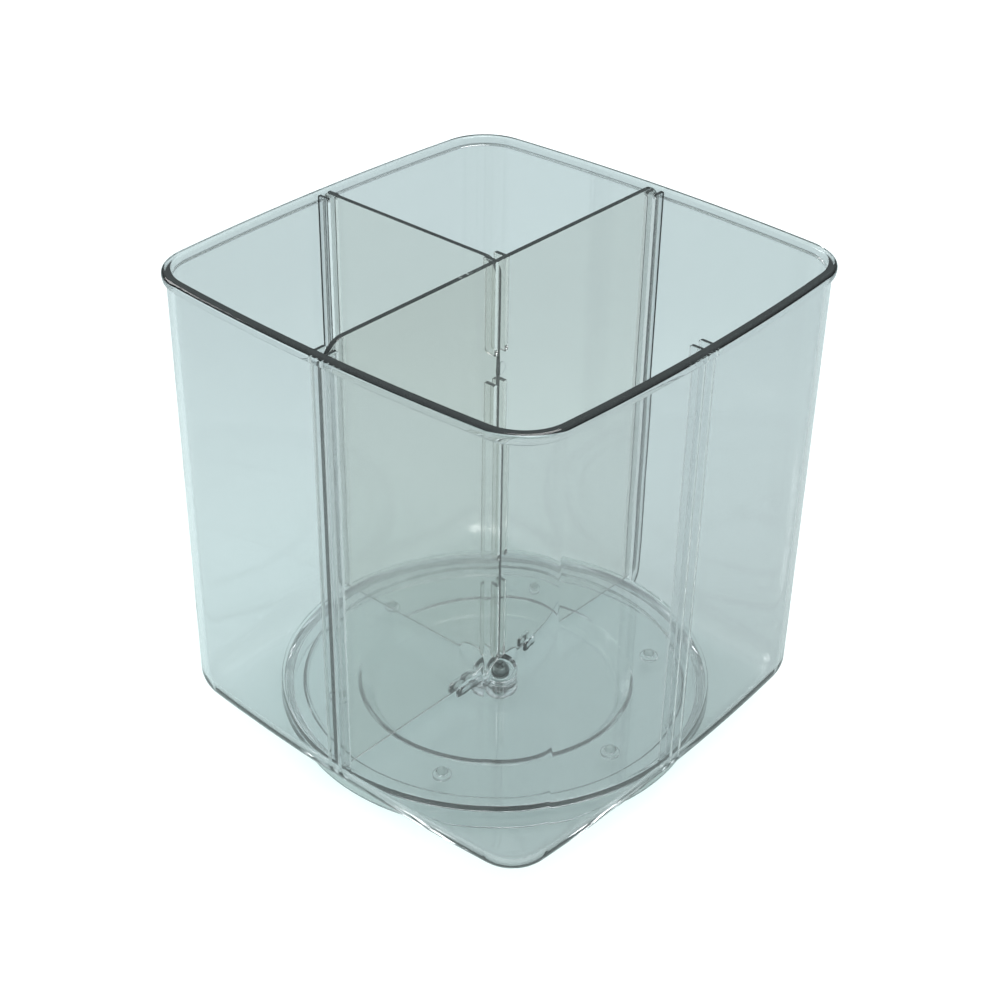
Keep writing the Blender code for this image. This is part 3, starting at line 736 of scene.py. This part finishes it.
# Places and sizes here are in metres, the lens and sensor in millimetres, and a lamp's power
# in watts. sky is (height of the direction looked in, brightness).
studio = dict(
    # The floor's tone seen through the plastic, then two darker tones of painted shade over
    # it: one along X, one along the main view's line of sight.
    floorHalf=6, floorSeen="#ffffff", floorThrough="#d8e0df", paintedShadeAlongX="#c0c5c4",
    fadeFrom=-0.12, fadeTo=0.10,
    paintedShadeBehind="#c3cbcb", away=(-0.652, 0.758, 0), deepFrom=0.06, deepTo=0.30,
    sky=((0.0, 0.19), (0.16, 0.22), (0.34, 0.42), (0.55, 0.80), (0.8, 1.0)),
    skyTint=(0.84, 0.98, 1.0),
    camera=(0.31748, -0.36798, 0.38399), lens=69.98, sensor=36, clip=(0.01, 50),
    azimuth=40.7175, elevation=32.6838, roll=1.1088,
)
lamps = {
    "overhead": dict(place=(0.1, 0.25, 1.3), target=(0, 0, 0.05), size=(0.9, 0.7), power=9),
    "side": dict(place=(-1.1, -0.3, 0.75), target=(0, 0, 0.08), size=(0.5, 0.5), power=4),
}


# A matt sweep, plain white where it is seen directly. Seen through the plastic it is a pale
# grey-green, staged to suit the main view, with painted shade on it: it darkens along X from
# fadeFrom to fadeTo, then turns to a darker painted-shade tone along away from deepFrom to
# deepTo.
def buildFloor():
    s = studio
    mesh = bpy.data.meshes.new("floor")
    h = s["floorHalf"]
    mesh.from_pydata([(-h, -h, 0), (h, -h, 0), (h, h, 0), (-h, h, 0)], [], [(0, 1, 2, 3)])
    floor = bpy.data.objects.new("floor", mesh)
    bpy.context.scene.collection.objects.link(floor)
    material, tree = newMaterial("matt_paper_floor")
    place = addNode(tree, "ShaderNodeTexCoord")
    apart = addNode(tree, "ShaderNodeSeparateXYZ", None, {"Vector": place.outputs["Object"]})
    # Painted shade: the floor seen through the plastic darkens along X.
    across = addNode(tree, "ShaderNodeMapRange",
                     {"From Min": s["fadeFrom"], "From Max": s["fadeTo"],
                      "interpolation_type": "SMOOTHSTEP"}, {"Value": apart.outputs["X"]})
    shade = addNode(tree, "ShaderNodeMix", {"data_type": "RGBA"},
                    {"Factor": across.outputs["Result"]})
    shade.inputs[6].default_value = hexColour(s["floorThrough"])
    shade.inputs[7].default_value = hexColour(s["paintedShadeAlongX"])
    # Painted shade: darker again along away, the main view's line of sight.
    behind = addNode(tree, "ShaderNodeVectorMath", {"operation": "DOT_PRODUCT"})
    tree.links.new(place.outputs["Object"], behind.inputs[0])
    behind.inputs[1].default_value = s["away"]
    depth = addNode(tree, "ShaderNodeMapRange",
                    {"From Min": s["deepFrom"], "From Max": s["deepTo"],
                     "interpolation_type": "SMOOTHSTEP"}, {"Value": behind.outputs["Value"]})
    deep = addNode(tree, "ShaderNodeMix", {"data_type": "RGBA"},
                   {"Factor": depth.outputs["Result"]})
    tree.links.new(shade.outputs[2], deep.inputs[6])
    deep.inputs[7].default_value = hexColour(s["paintedShadeBehind"])
    path = addNode(tree, "ShaderNodeLightPath")
    tone = addNode(tree, "ShaderNodeMix", {"data_type": "RGBA"},
                   {"Factor": path.outputs["Is Camera Ray"]})
    tree.links.new(deep.outputs[2], tone.inputs[6])
    tone.inputs[7].default_value = hexColour(s["floorSeen"])
    shader = addNode(tree, "ShaderNodeBsdfDiffuse", {"Roughness": 0.5},
                     {"Color": tone.outputs[2]})
    addNode(tree, "ShaderNodeOutputMaterial", None, {"Surface": shader.outputs["BSDF"]})
    mesh.materials.append(material)


# Bright overhead and darker round the horizon, so that the plastic's edges have something to
# show, and plain white where it is seen directly.
def buildWorld():
    world = bpy.data.worlds.new("studio")
    bpy.context.scene.world = world
    world.use_nodes = True
    tree = world.node_tree
    tree.nodes.clear()
    place = addNode(tree, "ShaderNodeTexCoord")
    parts = addNode(tree, "ShaderNodeSeparateXYZ", None,
                    {"Vector": place.outputs["Generated"]})
    ramp = addNode(tree, "ShaderNodeValToRGB", None, {"Fac": parts.outputs["Z"]})
    stops = ramp.color_ramp.elements
    stops.remove(stops[1])
    for n, (where, value) in enumerate(studio["sky"]):
        stop = stops[0] if n == 0 else stops.new(where)
        stop.position = where
        stop.color = (*(value * part for part in studio["skyTint"]), 1)
    path = addNode(tree, "ShaderNodeLightPath")
    tone = addNode(tree, "ShaderNodeMix", {"data_type": "RGBA"},
                   {"Factor": path.outputs["Is Camera Ray"]})
    tree.links.new(ramp.outputs["Color"], tone.inputs[6])
    tone.inputs[7].default_value = (1, 1, 1, 1)
    back = addNode(tree, "ShaderNodeBackground", {"Strength": 1.0},
                   {"Color": tone.outputs[2]})
    addNode(tree, "ShaderNodeOutputWorld", None, {"Surface": back.outputs["Background"]})


def addLamp(name, place, target, size, power):
    light = bpy.data.lights.new(name, "AREA")
    light.shape = "RECTANGLE"
    light.size, light.size_y = size
    light.energy = power
    lamp = bpy.data.objects.new(name, light)
    lamp.location = place
    towards = Vector(target) - Vector(place)
    lamp.rotation_euler = towards.to_track_quat("-Z", "Y").to_euler()
    bpy.context.scene.collection.objects.link(lamp)


# The camera's axes: back from its azimuth and elevation, right and up turned by the roll.
def buildCamera():
    s = studio
    a, e, r = (math.radians(s[k]) for k in ("azimuth", "elevation", "roll"))
    back = Vector((math.sin(a) * math.cos(e), -math.cos(a) * math.cos(e), math.sin(e)))
    side = Vector((math.cos(a), math.sin(a), 0))
    over = back.cross(side)
    right = side * math.cos(r) + over * math.sin(r)
    up = over * math.cos(r) - side * math.sin(r)
    data = bpy.data.cameras.new("camera")
    data.lens = s["lens"]
    data.sensor_width = s["sensor"]
    data.clip_start, data.clip_end = s["clip"]
    camera = bpy.data.objects.new("camera", data)
    axes = Matrix((right, up, back)).transposed().to_4x4()
    camera.matrix_world = Matrix.Translation(s["camera"]) @ axes
    bpy.context.scene.collection.objects.link(camera)
    bpy.context.scene.camera = camera


buildFloor()
buildWorld()
for name, lamp in lamps.items():
    addLamp(name, **lamp)
buildCamera()
scene = bpy.context.scene
scene.view_settings.view_transform = "Standard"
scene.cycles.max_bounces = 28  # light crosses many walls before it comes out
scene.cycles.transmission_bounces = 26
scene.cycles.glossy_bounces = 8
scene.cycles.transparent_max_bounces = 32
scene.cycles.caustics_refractive = False
print("studio made")
